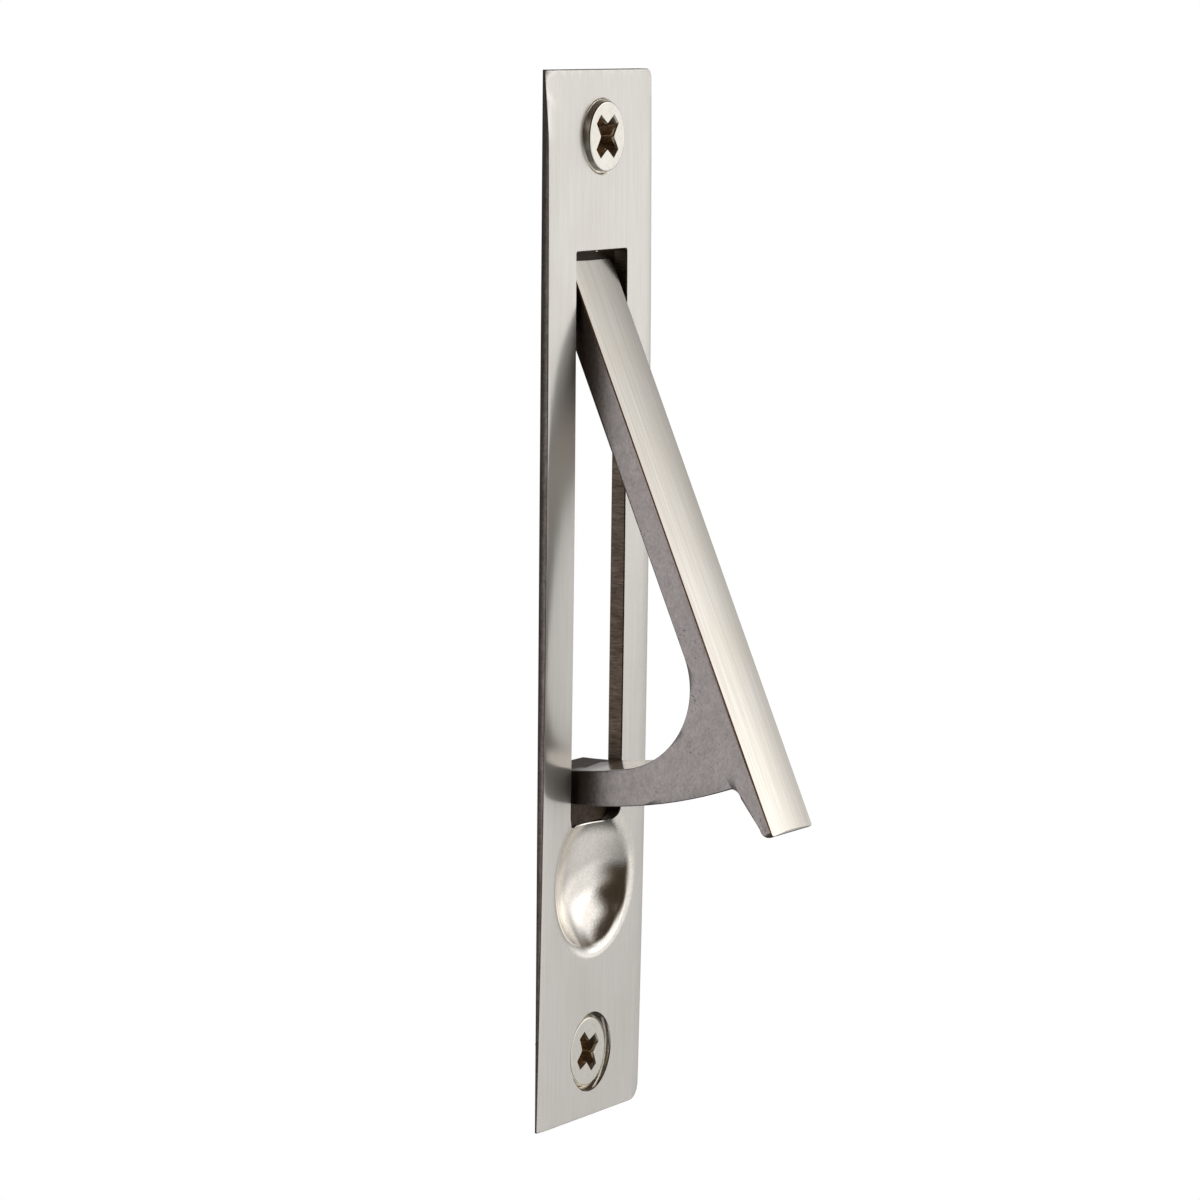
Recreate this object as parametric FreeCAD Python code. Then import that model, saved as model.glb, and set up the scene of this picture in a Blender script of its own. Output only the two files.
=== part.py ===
import FreeCAD, Part
import math
import os

from FreeCAD import Vector

# Pocket door edge pull, in millimetres.
# Frame: the origin is the centre of the plate's flat back, X runs across the plate,
# +Y runs into the door and +Z is up. The pull is swung out, as in use.

# Face plate
plate_height = 98.425
plate_width = 19.05
plate_thick = 1.49            # at mid height
crown_drop = 0.42             # the polished front falls back by this at both ends
corner_radius_left = 0.3
corner_radius_right_top = 1.0
corner_radius_right_low = 1.6
back_bevel_top = 0.34         # the back's long edges are bevelled this deep, more so at the low end
back_bevel_low = 0.79
back_bevel_angle = 30.0       # from the back's plane
front_round = 0.1

# Where things lie along the plate
screw_from_end = 6.1625
pin_from_top = 21.3825
dish_from_low_end = 22.6125   # the dish's centre
slot_above_dish = 5.17        # the slot's low end above the dish's centre

# Slot for the pull
slot_width = 9.27
slot_low_radius = 1.5
slot_top_radius = 0.2

# Thumb dish, a pressed spherical cap
dish_radius = 7.0             # at the plate's front
dish_depth = 3.0
dish_wall = 1.0
dish_rim_round = 0.8
dish_back_round = 0.5

# Pivot pin and the two ears that hold it
pin_behind = 0.83             # pin axis behind the plate's back
pin_diameter = 1.2
pin_fit = 0.01                # radial gap of the pin in its ears
pin_inset = 0.02              # its ends lie this far inside the ears' outer faces
pin_end_chamfer = 0.15
ear_thick = 0.8
ear_wall = 0.45               # metal round the pin
ear_below_pin = 2.6           # an ear's foot reaches this far below the pin
ear_above_slot = 0.9          # and this far above the slot's top
ear_top_slope = 0.8           # the ear's upper end leans back by this

# Pull lever, drawn in its own directions: depth from the bar's front face,
# and distance along the bar below the pin
open_angle = 23.3             # degrees from the plate's plane
lever_side_gap = 0.69         # between the bar and each side of the slot
bar_thick = 2.65
bar_crown_radius = 50.0       # the bar's front is slightly rounded across its width
pin_depth = 2.48              # pin axis behind the bar's front face
bar_above_pin = 4.25
bar_top_gap = 0.26            # between the bar's swinging top corner and the slot's top
bar_top_bevel = 1.25          # a flat bevel at the front of the top end
bar_top_back_round = 0.3
bar_top_corner_width = 2.0    # rounded corners of the top end, seen from the front
bar_top_corner_height = 3.3
tip_shoulder = 1.05           # the thin finger tip starts this far below the tail
tip_length = 4.3
tip_start_thick = 2.0
tip_end_thick = 1.2
tip_round = 1.05
tip_round_across = 0.7
tip_front_round = 0.3
tip_corner_radius = 0.45      # the tip's two corners, seen from the front
inner_fillet = 7.9
tail_thick = 4.12
tail_to_slot_end = 1.56       # room for the tail's swing above the slot's low end
tail_root_round = 0.6
tail_past_pin = 1.9           # the tail ends this many degrees behind the pin, when swung out
edge_break = 0.1
hub_radius = 1.35
hub_side_gap = 0.16           # between hub and ear
bore_clearance = 0.05         # radial gap of the lever on the pin

# Foot under the tail's end, which fills the slot, and the heel that hooks behind the dish
foot_side_gap = 0.26          # between the foot and the slot's walls
foot_to_slot_end = 0.2        # height of the foot's low edge above the slot's end
foot_height = 2.5
foot_into_slot = 0.3          # the foot's front lies this far inside the plate's back
foot_thick = 2.6
heel_width = 7.8
heel_drop = 1.0               # how far the heel reaches below the foot
heel_back_round = 0.3
stop_gap = 0.12               # between the heel and the dish's back

# Screws, short countersunk ones
head_diameter = 6.88
head_draft = 0.17             # the head's land narrows by this to its face
head_land = 0.65
head_cone_angle = 41.0        # half angle, degrees
shank_diameter = 3.5
screw_length = 5.8
screw_point = 1.7
top_screw_proud = 0.57
low_screw_sunk = 0.29
top_recess_turn = 45.0        # degrees
low_recess_turn = 33.0
recess_span = 4.5             # across two opposite arms, at the face
recess_arm = 1.15             # width of an arm's end
recess_notch = 1.1            # from the axis to the corner between two arms
recess_notch_round = 0.3
recess_depth = 1.8
recess_taper = 0.58           # the recess's floor is this share of its mouth

# Screw seats, pressed into the plate with a raised collar behind
seat_gap = 0.05               # radial gap round the screw head
low_seat_room = 0.26          # radial gap round the sunk head at the plate's front
bore_room = 0.35              # radial gap round the shank
collar_height = 0.95
collar_base_diameter = 9.4
collar_end_diameter = 7.0

# Worked out from the sizes above
half_spacing = plate_height / 2 - screw_from_end
pin_height = plate_height / 2 - pin_from_top
dish_height = -plate_height / 2 + dish_from_low_end
slot_top = pin_height + math.hypot(bar_above_pin, pin_depth - bar_top_bevel) + bar_top_gap
slot_low = dish_height + slot_above_dish
half_slot = slot_width / 2
half_lever = half_slot - lever_side_gap
lever_width = 2 * half_lever
tail_outer_radius = pin_height - slot_low - tail_to_slot_end    # about the bar's front, level with the pin
tail_inner_radius = tail_outer_radius - tail_thick              # about the pin
tail_sweep = open_angle + tail_past_pin
tip_start = tail_outer_radius + tip_shoulder
tip_below_pin = tip_start + tip_length
crown_radius = ((plate_height / 2) ** 2 + crown_drop ** 2) / (2 * crown_drop)
dish_sphere = (dish_radius ** 2 + dish_depth ** 2) / (2 * dish_depth)
dish_centre_y = -plate_thick + dish_depth - dish_sphere
pin_radius = pin_diameter / 2
cone_slope = math.tan(math.radians(head_cone_angle))
open_turn = math.radians(open_angle)
reach = 4 * plate_thick       # cutters run past both faces by this
sink = plate_thick / 3        # what stands on the plate's back is rooted this deep in it
round_share = 1 - 1 / math.sqrt(2)    # a round corner's middle, as a share of the way to the corner


def front_y(height):
    """Y of the crowned front face at a height."""
    return -plate_thick + crown_radius - math.sqrt(crown_radius ** 2 - height ** 2)


def on_lever(depth, below, x=0.0):
    """A point of the swung-out lever, from its depth behind the bar's front and its way below the pin."""
    across = depth - pin_depth
    y = pin_behind + across * math.cos(open_turn) - below * math.sin(open_turn)
    z = pin_height - across * math.sin(open_turn) - below * math.cos(open_turn)
    return Vector(x, y, z)


def closed_face(edges):
    return Part.Face(Part.Wire(Part.__sortEdges__(edges)))


def line(start, end):
    return Part.makeLine(start, end)


def arc(start, middle, end):
    return Part.Arc(start, middle, end).toShape()


def corner_arc(centre, radius, start_angle, end_angle, place):
    """A circular arc in two directions, put into space by place(a, b)."""
    points = []
    for angle in (start_angle, (start_angle + end_angle) / 2, end_angle):
        turn = math.radians(angle)
        points.append(place(centre[0] + radius * math.cos(turn), centre[1] + radius * math.sin(turn)))
    return arc(*points)


def corner_curve(start, corner, end):
    """An arc from start to end that rounds a square corner."""
    middle = corner + (start - corner) * round_share + (end - corner) * round_share
    return arc(start, middle, end)


def rounded_outline(half, low, top, radii, y):
    """A rectangle in the plate's plane; radii are its right top, left top, left low and right low corner."""
    def place(x, z):
        return Vector(x, y, z)
    right_top, left_top, left_low, right_low = radii
    corners = (
        (half - right_top, top - right_top, right_top, 0),
        (left_top - half, top - left_top, left_top, 90),
        (left_low - half, low + left_low, left_low, 180),
        (half - right_low, low + right_low, right_low, 270),
    )
    arcs = [corner_arc((cx, cz), r, start, start + 90, place) for cx, cz, r, start in corners]
    sides = []
    for here, after in zip(arcs, arcs[1:] + arcs[:1]):
        sides.append(line(here.valueAt(here.LastParameter), after.valueAt(after.FirstParameter)))
    return closed_face(arcs + sides)


def edges_where(shape, test):
    return [edge for edge in shape.Edges if test(edge)]


def back_bevel_cutter(side):
    """What bevels one long edge of the back: a flat cut that deepens evenly from the top end to the low end."""
    slope = math.tan(math.radians(back_bevel_angle))
    half_height = plate_height / 2
    corners = []
    for height, depth in ((-half_height, back_bevel_low), (half_height, back_bevel_top)):
        low_side = Vector(side * (plate_width / 2 + sink), -depth - sink * slope, height)
        back_side = Vector(side * (plate_width / 2 - depth / slope - sink), sink * slope, height)
        corners.append((low_side, back_side))
    (a, b), (c, d) = corners
    # both ends are carried on past the plate
    more = (c - a) * 0.1
    more_back = (d - b) * 0.1
    face = Part.Face(Part.makePolygon([a - more, c + more, d + more_back, b - more_back, a - more]))
    outward = Vector(side * math.sin(math.radians(back_bevel_angle)), math.cos(math.radians(back_bevel_angle)), 0)
    return face.extrude(outward * (2 * sink + back_bevel_low))


def plate_blank():
    """The plate without its openings: bevelled back edges, crowned front, broken front edges."""
    half_height = plate_height / 2
    slab = rounded_outline(
        plate_width / 2, -half_height, half_height,
        (corner_radius_right_top, corner_radius_left, corner_radius_left, corner_radius_right_low), 0,
    ).extrude(Vector(0, -plate_thick, 0))
    crown = Part.makeCylinder(
        crown_radius, 2 * plate_width, Vector(-plate_width, crown_radius - plate_thick, 0), Vector(1, 0, 0)
    )
    blank = slab.common(crown)
    blank = blank.makeFillet(front_round, edges_where(blank, on_crown))
    return blank.cut([back_bevel_cutter(1), back_bevel_cutter(-1)])


def on_crown(edge):
    """Does this whole edge lie on the crowned front?"""
    for share in (0.0, 0.5, 1.0):
        point = edge.valueAt(edge.FirstParameter + share * (edge.LastParameter - edge.FirstParameter))
        if abs(point.y - front_y(point.z)) > 1e-4:
            return False
    return True


def dish_bulge():
    """The back of the pressed dish."""
    ball = Part.makeSphere(dish_sphere + dish_wall, Vector(0, dish_centre_y, dish_height))
    half_space = Part.makeBox(
        4 * dish_sphere, 2 * dish_sphere, 4 * dish_sphere,
        Vector(-2 * dish_sphere, -sink, dish_height - 2 * dish_sphere),
    )
    return ball.common(half_space)


def ear(side):
    """One ear on the plate's back beside the slot: round below the pin, and carried up past the slot's top."""
    outer = pin_radius + ear_wall
    x = side * half_slot
    # below the pin the ear's edge runs from its foot to the round as a tangent
    away = math.hypot(ear_below_pin, pin_behind)
    lean = math.asin(outer / away) + math.atan2(pin_behind, ear_below_pin)
    run = math.sqrt(away ** 2 - outer ** 2)
    touch = Vector(x, run * math.sin(lean), pin_height - ear_below_pin + run * math.cos(lean))
    crest_y = pin_behind + outer
    half_way = (lean - math.pi / 2) / 2
    middle = Vector(x, pin_behind + outer * math.cos(half_way), pin_height + outer * math.sin(half_way))
    top = slot_top + ear_above_slot
    points = [
        Vector(x, crest_y, pin_height), Vector(x, crest_y, top - ear_top_slope), Vector(x, 0, top),
        Vector(x, -sink, top), Vector(x, -sink, pin_height - ear_below_pin),
        Vector(x, 0, pin_height - ear_below_pin), touch,
    ]
    edges = [line(a, b) for a, b in zip(points, points[1:])]
    edges.append(arc(touch, middle, points[0]))
    return closed_face(edges).extrude(Vector(side * ear_thick, 0, 0))


def seat_collar(height):
    """The raised metal behind a pressed screw seat."""
    grow = (collar_base_diameter - collar_end_diameter) / 2 * sink / collar_height
    return Part.makeCone(
        collar_base_diameter / 2 + grow, collar_end_diameter / 2, collar_height + sink,
        Vector(0, -sink, height), Vector(0, 1, 0),
    )


def revolved(profile, height):
    """A solid of revolution about a screw's axis, from (radius, y) points."""
    points = [Vector(radius, y, height) for radius, y in profile]
    wire = Part.makePolygon(points + points[:1])
    return Part.Face(wire).revolve(Vector(0, 0, height), Vector(0, 1, 0), 360)


def top_screw_face():
    """Y of the top screw's face, which stands proud of the plate."""
    return front_y(half_spacing) - top_screw_proud


def low_screw_face():
    """Y of the bottom screw's face, which is sunk below the plate's front."""
    return front_y(half_spacing) + low_screw_sunk


def seat_cutter(height, mouth_radius, face_y):
    """The screw seat: a mouth down to the head's widest ring, then the cone and the bore."""
    ring_radius = head_diameter / 2 + seat_gap
    ring_y = face_y + head_land
    bore_radius = shank_diameter / 2 + bore_room
    cone_end = ring_y + (ring_radius - bore_radius) / cone_slope
    surface = front_y(height)
    profile = [(0, surface - reach), (mouth_radius, surface - reach), (mouth_radius, surface)]
    if ring_y > surface:
        profile.append((ring_radius, ring_y))
    profile += [(bore_radius, cone_end), (bore_radius, cone_end + reach), (0, cone_end + reach)]
    return revolved(profile, height)


def face_plate():
    plate = plate_blank().fuse(dish_bulge())
    root = edges_where(
        plate,
        lambda edge: abs(edge.BoundBox.YMin) < 1e-4 and abs(edge.BoundBox.YMax) < 1e-4
        and abs(edge.BoundBox.Center.z - dish_height) < 1e-3 and edge.BoundBox.XLength < plate_width - 1,
    )
    plate = plate.makeFillet(dish_back_round, root)
    dish = Part.makeSphere(dish_sphere, Vector(0, dish_centre_y, dish_height))
    plate = plate.cut(dish)
    rim = edges_where(
        plate,
        lambda edge: on_crown(edge) and edge.BoundBox.XLength < 2 * dish_radius + 1
        and abs(edge.BoundBox.Center.z - dish_height) < 0.1,
    )
    plate = plate.makeFillet(dish_rim_round, rim)
    plate = plate.fuse([seat_collar(half_spacing), seat_collar(-half_spacing), ear(1), ear(-1)])
    slot_radii = (slot_top_radius, slot_top_radius, slot_low_radius, slot_low_radius)
    slot = rounded_outline(half_slot, slot_low, slot_top, slot_radii, -reach).extrude(Vector(0, 3 * reach, 0))
    pin_hole = Part.makeCylinder(
        pin_radius + pin_fit, plate_width, Vector(-plate_width / 2, pin_behind, pin_height), Vector(1, 0, 0)
    )
    head_radius = head_diameter / 2
    seats = [
        seat_cutter(half_spacing, head_radius + seat_gap, top_screw_face()),
        seat_cutter(-half_spacing, head_radius + low_seat_room, low_screw_face()),
    ]
    return plate.cut([slot, pin_hole] + seats)


def pivot_pin():
    """A plain round pin, held in the ears at both ends."""
    half_length = half_slot + ear_thick - pin_inset
    pin = Part.makeCylinder(
        pin_radius, 2 * half_length, Vector(-half_length, pin_behind, pin_height), Vector(1, 0, 0)
    )
    return pin.makeChamfer(pin_end_chamfer, edges_where(pin, lambda edge: edge.BoundBox.XLength < 1e-6))


def lever_outline():
    """The lever's side view: bar, finger tip, curved tail, and the hollow between bar and tail."""
    x = -half_lever

    def place(depth, below):
        return on_lever(depth, below, x)

    def about(centre, radius, turn):
        """A point on a circle; turn is measured from the bar's direction, away from its front."""
        return place(centre[0] + radius * math.sin(turn), centre[1] + radius * math.cos(turn))

    pin_centre = (pin_depth, 0.0)
    front_centre = (0.0, 0.0)
    top = -bar_above_pin
    bevel = min(bar_top_bevel, 0.5 * bar_thick)
    r = min(bar_top_back_round, 0.4 * bar_thick)
    tip_r = min(tip_front_round, 0.3 * tip_end_thick)
    tail_end = math.radians(tail_sweep)

    # inner fillet, tangent to the bar's back and to the tail's inner arc
    fillet_depth = bar_thick + inner_fillet
    fillet_below = math.sqrt((tail_inner_radius - inner_fillet) ** 2 - (fillet_depth - pin_depth) ** 2)
    fillet_turn = math.atan2(fillet_depth - pin_depth, fillet_below)
    fillet_start = place(bar_thick, fillet_below)
    fillet_end = about(pin_centre, tail_inner_radius, fillet_turn)
    half_way = (-math.pi / 2 + fillet_turn) / 2
    fillet_middle = about((fillet_depth, fillet_below), inner_fillet, half_way)

    inner_end = about(pin_centre, tail_inner_radius, tail_end)
    inner_middle = about(pin_centre, tail_inner_radius, (fillet_turn + tail_end) / 2)
    outer_end = meet(pin_centre, tail_end, front_centre, tail_outer_radius)
    outer_turn = math.atan2(outer_end[0], outer_end[1])
    root_turn = math.asin((tip_start_thick + tail_root_round) / tail_outer_radius)
    outer_middle = about(front_centre, tail_outer_radius, (outer_turn + root_turn) / 2)
    outer_start = about(front_centre, tail_outer_radius, root_turn)

    shoulder = place(tip_start_thick, tip_start)
    tail_root = place(tip_start_thick, math.sqrt(tail_outer_radius ** 2 - tip_start_thick ** 2))
    tip_corner = place(tip_end_thick, tip_below_pin)
    tip_corner_start = place(tip_end_thick, tip_below_pin - tip_round)
    tip_corner_end = place(tip_end_thick - tip_round_across, tip_below_pin)

    edges = [
        line(place(0, top + bevel), place(0, tip_below_pin - tip_r)),
        corner_curve(place(0, tip_below_pin - tip_r), place(0, tip_below_pin), place(tip_r, tip_below_pin)),
        line(place(tip_r, tip_below_pin), tip_corner_end),
        corner_curve(tip_corner_end, tip_corner, tip_corner_start),
        line(tip_corner_start, shoulder),
        corner_curve(shoulder, tail_root, outer_start),
        arc(outer_start, outer_middle, place(*outer_end)),
        line(place(*outer_end), inner_end),
        arc(inner_end, inner_middle, fillet_end),
        arc(fillet_end, fillet_middle, fillet_start),
        line(fillet_start, place(bar_thick, top + r)),
        corner_arc((bar_thick - r, top + r), r, 0, -90, place),
        line(place(bar_thick - r, top), place(bevel, top)),
        line(place(bevel, top), place(0, top + bevel)),
    ]
    return closed_face(edges)


def meet(pin_centre, turn, centre, radius):
    """Where the ray from the pin at this turn leaves the circle about centre."""
    ray = (math.sin(turn), math.cos(turn))
    off = (pin_centre[0] - centre[0], pin_centre[1] - centre[1])
    along = off[0] * ray[0] + off[1] * ray[1]
    way = -along + math.sqrt(along ** 2 - off[0] ** 2 - off[1] ** 2 + radius ** 2)
    return (pin_centre[0] + way * ray[0], pin_centre[1] + way * ray[1])


def bar_crown():
    """A long cylinder whose side rounds the bar's front across its width."""
    start = on_lever(bar_crown_radius, -4 * bar_above_pin)
    end = on_lever(bar_crown_radius, 2 * tip_below_pin)
    return Part.makeCylinder(bar_crown_radius, (end - start).Length, start, end - start)


def corner_cutter(side, end, inward, width, height):
    """What rounds a corner of the bar seen from the front: its end lies end below the pin, inward is +1 or -1."""
    def place(x, below):
        return on_lever(-bar_thick, below, side * x)

    outer = half_lever + bar_thick
    past_end = end - inward * bar_thick
    start = place(half_lever - width, end)
    stop = place(half_lever, end + inward * height)
    clear_of_side = place(outer, end + inward * height)
    clear_of_both = place(outer, past_end)
    clear_of_end = place(half_lever - width, past_end)
    edges = [
        corner_curve(start, place(half_lever, end), stop),
        line(stop, clear_of_side),
        line(clear_of_side, clear_of_both),
        line(clear_of_both, clear_of_end),
        line(clear_of_end, start),
    ]
    through = on_lever(3 * bar_thick, 0) - on_lever(-bar_thick, 0)
    return closed_face(edges).extrude(through)


def foot():
    """The block under the tail's end, as wide as the slot lets it be."""
    half = half_slot - foot_side_gap
    low = slot_low + foot_to_slot_end
    low_radius = slot_low_radius - foot_side_gap
    radii = (slot_top_radius, slot_top_radius, low_radius, low_radius)
    return rounded_outline(half, low, low + foot_height, radii, -foot_into_slot).extrude(Vector(0, foot_thick, 0))


def heel():
    """The hook below the foot, hollowed to the dish's back, which stops the pull when it is right out."""
    low = slot_low + foot_to_slot_end - heel_drop
    tail_back = on_lever(pin_depth + tail_inner_radius * math.sin(math.radians(tail_sweep)),
                         tail_inner_radius * math.cos(math.radians(tail_sweep))).y
    block = Part.makeBox(heel_width, tail_back, heel_drop + foot_height, Vector(-heel_width / 2, 0, low))
    rounded = edges_where(
        block, lambda edge: edge.BoundBox.ZMax < low + 1e-6 and edge.BoundBox.YMin > tail_back - 1e-6
    )
    block = block.makeFillet(heel_back_round, rounded)
    ball = Part.makeSphere(dish_sphere + dish_wall + stop_gap, Vector(0, dish_centre_y, dish_height))
    return block.cut(ball)


def pull_lever():
    bar = lever_outline().extrude(Vector(lever_width, 0, 0))
    bar = bar.common(bar_crown())
    side_edges = edges_where(
        bar, lambda edge: edge.BoundBox.XLength < 1e-4 and abs(abs(edge.BoundBox.XMin) - half_lever) < 1e-4
    )
    bar = bar.makeChamfer(edge_break, side_edges)
    for side in (1, -1):
        bar = bar.cut(corner_cutter(side, -bar_above_pin, 1, bar_top_corner_width, bar_top_corner_height))
        bar = bar.cut(corner_cutter(side, tip_below_pin, -1, tip_corner_radius, tip_corner_radius))
    hub_length = slot_width - 2 * hub_side_gap
    hub = Part.makeCylinder(
        hub_radius, hub_length, Vector(-hub_length / 2, pin_behind, pin_height), Vector(1, 0, 0)
    )
    bore = Part.makeCylinder(
        pin_radius + bore_clearance, plate_width,
        Vector(-plate_width / 2, pin_behind, pin_height), Vector(1, 0, 0),
    )
    return bar.fuse([hub, foot(), heel()]).cut(bore).removeSplitter()


def recess_outline(scale, y):
    """The cross recess at one depth: four arms with flat ends, and a rounded corner between each two."""
    end = scale * recess_span / 2
    half_arm = scale * recess_arm / 2
    # a flank runs from the corner of an arm's end to the notch between that arm and the next one
    notch = Vector(1, 0, 1) * (scale * recess_notch * math.sqrt(0.5))
    flank = (Vector(end, 0, half_arm) - notch).normalize()
    before = notch + flank * (scale * recess_notch_round)
    after = Vector(before.z, 0, before.x)
    middle = notch + (before + after - notch * 2) * 0.25
    quarter = [Vector(end, 0, -half_arm), Vector(end, 0, half_arm), before, middle, after, Vector(half_arm, 0, end)]
    edges = []
    for turn in (0, 90, 180, 270):
        a, b, c, d, e, f = [turned_about_y(point, turn, y) for point in quarter]
        edges += [line(a, b), line(b, c), arc(c, d, e), line(e, f)]
    return Part.Wire(edges)


def turned_about_y(point, degrees, y):
    """The point turned from +X towards +Z, at depth y."""
    turn = math.radians(degrees)
    return Vector(point.x * math.cos(turn) - point.z * math.sin(turn), y,
                  point.x * math.sin(turn) + point.z * math.cos(turn))


def recess_cutter(face_y, turn):
    """The tapered cross recess, carried on past the head's face by a share of its depth."""
    past = 0.25
    mouth = 1 + past * (1 - recess_taper)
    sections = [
        recess_outline(mouth, face_y - past * recess_depth),
        recess_outline(recess_taper, face_y + recess_depth),
    ]
    cutter = Part.makeLoft(sections, True, True)
    cutter.rotate(Vector(0, 0, 0), Vector(0, 1, 0), -turn)
    return cutter


def screw(height, face_y, turn):
    """A countersunk screw whose head face lies at face_y."""
    head_radius = head_diameter / 2
    face_radius = head_radius - head_draft
    shank = shank_diameter / 2
    ring_y = face_y + head_land
    neck_y = ring_y + (head_radius - shank) / cone_slope
    end_y = face_y + screw_length
    body = revolved(
        [(0, face_y), (face_radius, face_y), (head_radius, ring_y), (shank, neck_y),
         (shank, end_y - screw_point), (0, end_y)],
        height,
    )
    recess = recess_cutter(face_y, turn)
    recess.translate(Vector(0, 0, height))
    return body.cut(recess)


def build():
    return {
        "face_plate": face_plate(),
        "pull_lever": pull_lever(),
        "pivot_pin": pivot_pin(),
        "screw_top": screw(half_spacing, top_screw_face(), top_recess_turn),
        "screw_bottom": screw(-half_spacing, low_screw_face(), low_recess_turn),
    }


os.makedirs("parts", exist_ok=True)
for name, shape in build().items():
    print(name, "solids", len(shape.Solids), "valid", shape.isValid(), "volume", round(shape.Volume, 2))
    shape.exportStep("parts/" + name + ".step")
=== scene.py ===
import math
from contextlib import contextmanager

import bmesh
import bpy
import numpy as np
from mathutils import Matrix, Vector
from mathutils.geometry import delaunay_2d_cdt


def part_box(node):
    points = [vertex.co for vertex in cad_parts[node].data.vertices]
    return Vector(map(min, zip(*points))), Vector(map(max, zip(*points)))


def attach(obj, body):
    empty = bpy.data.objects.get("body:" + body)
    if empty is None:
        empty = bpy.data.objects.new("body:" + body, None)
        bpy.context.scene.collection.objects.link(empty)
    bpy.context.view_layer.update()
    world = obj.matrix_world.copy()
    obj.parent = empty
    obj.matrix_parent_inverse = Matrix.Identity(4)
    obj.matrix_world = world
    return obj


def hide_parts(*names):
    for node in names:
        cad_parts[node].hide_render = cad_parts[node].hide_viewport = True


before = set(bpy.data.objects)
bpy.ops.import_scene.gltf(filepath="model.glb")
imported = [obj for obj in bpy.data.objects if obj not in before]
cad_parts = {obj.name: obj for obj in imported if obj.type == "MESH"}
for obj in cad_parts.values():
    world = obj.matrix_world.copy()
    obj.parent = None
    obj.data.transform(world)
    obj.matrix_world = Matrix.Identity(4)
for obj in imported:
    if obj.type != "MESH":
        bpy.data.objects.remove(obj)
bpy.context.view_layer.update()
mm = 0.001      # sizes are in mm and angles in degrees, unless a note says otherwise


def linearFromHex(code):
    # sRGB to linear light: c / 12.92 up to 0.04045, else ((c + 0.055) / 1.055) ^ 2.4
    srgb = np.array([int(code[i:i + 2], 16) / 255 for i in (1, 3, 5)])
    linear = np.where(srgb <= 0.04045, srgb / 12.92, ((srgb + 0.055) / 1.055) ** 2.4)
    return (*linear.tolist(), 1.0)


def addNode(tree, kind, settings=None, inputs=None):
    # one node, with its properties and its sockets' values or links
    node = tree.nodes.new(kind)
    for name, value in (settings or {}).items():
        setattr(node, name, value)
    for name, value in (inputs or {}).items():
        if isinstance(value, bpy.types.NodeSocket):
            tree.links.new(value, node.inputs[name])
        else:
            node.inputs[name].default_value = value
    return node


def newMaterial(name):
    material = bpy.data.materials.new(name)
    material.use_nodes = True
    material.node_tree.nodes.clear()
    return material, material.node_tree


def addObject(name, data):
    thing = bpy.data.objects.new(name, data)
    bpy.context.scene.collection.objects.link(thing)
    return thing


def meshOf(name, points, faces):
    mesh = bpy.data.meshes.new(name)
    mesh.from_pydata(points.tolist(), [], faces)
    return mesh


def joinedRows(rows):
    # rows of equal counts round a closed loop, joined by four-sided faces
    count = len(rows[0])
    index = np.arange(len(rows) * count).reshape(len(rows), count)
    after = np.roll(index, -1, axis=1)
    faces = np.stack([index[:-1], after[:-1], after[1:], index[1:]], -1).reshape(-1, 4)
    return np.concatenate(rows), faces


def turnedRound(faces):
    # four-sided faces that look the other way and still begin at the same corner
    return faces[:, [0, 3, 2, 1]].tolist()


print("stage: camera")
camera = {
    "place": (-402.169, -233.256, 56.341),
    "azimuth": 60.053,      # to the left of straight in front
    "elevation": 6.930,
    "roll": 0.739,
    "lens": 150.253,
    "sensor": 36.0,
    "clip": (0.01, 20),     # m
}


def addCamera(c):
    # looks back along (-sin az cos el, -cos az cos el, sin el), then rolls about that line
    az, el, roll = (math.radians(c[k]) for k in ("azimuth", "elevation", "roll"))
    back = np.array([-math.sin(az) * math.cos(el), -math.cos(az) * math.cos(el), math.sin(el)])
    level = np.cross(-back, [0, 0, 1])
    level /= np.linalg.norm(level)
    up = np.cross(level, -back)
    data = bpy.data.cameras.new("camera")
    data.lens = c["lens"]
    data.sensor_width = c["sensor"]
    data.clip_start, data.clip_end = c["clip"]
    turn = np.eye(4)
    turn[:3, 0] = math.cos(roll) * level + math.sin(roll) * up
    turn[:3, 1] = -math.sin(roll) * level + math.cos(roll) * up
    turn[:3, 2] = back
    turn[:3, 3] = np.array(c["place"]) * mm
    thing = addObject("camera", data)
    thing.matrix_world = Matrix(turn.tolist())
    bpy.context.scene.camera = thing


addCamera(camera)

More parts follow.
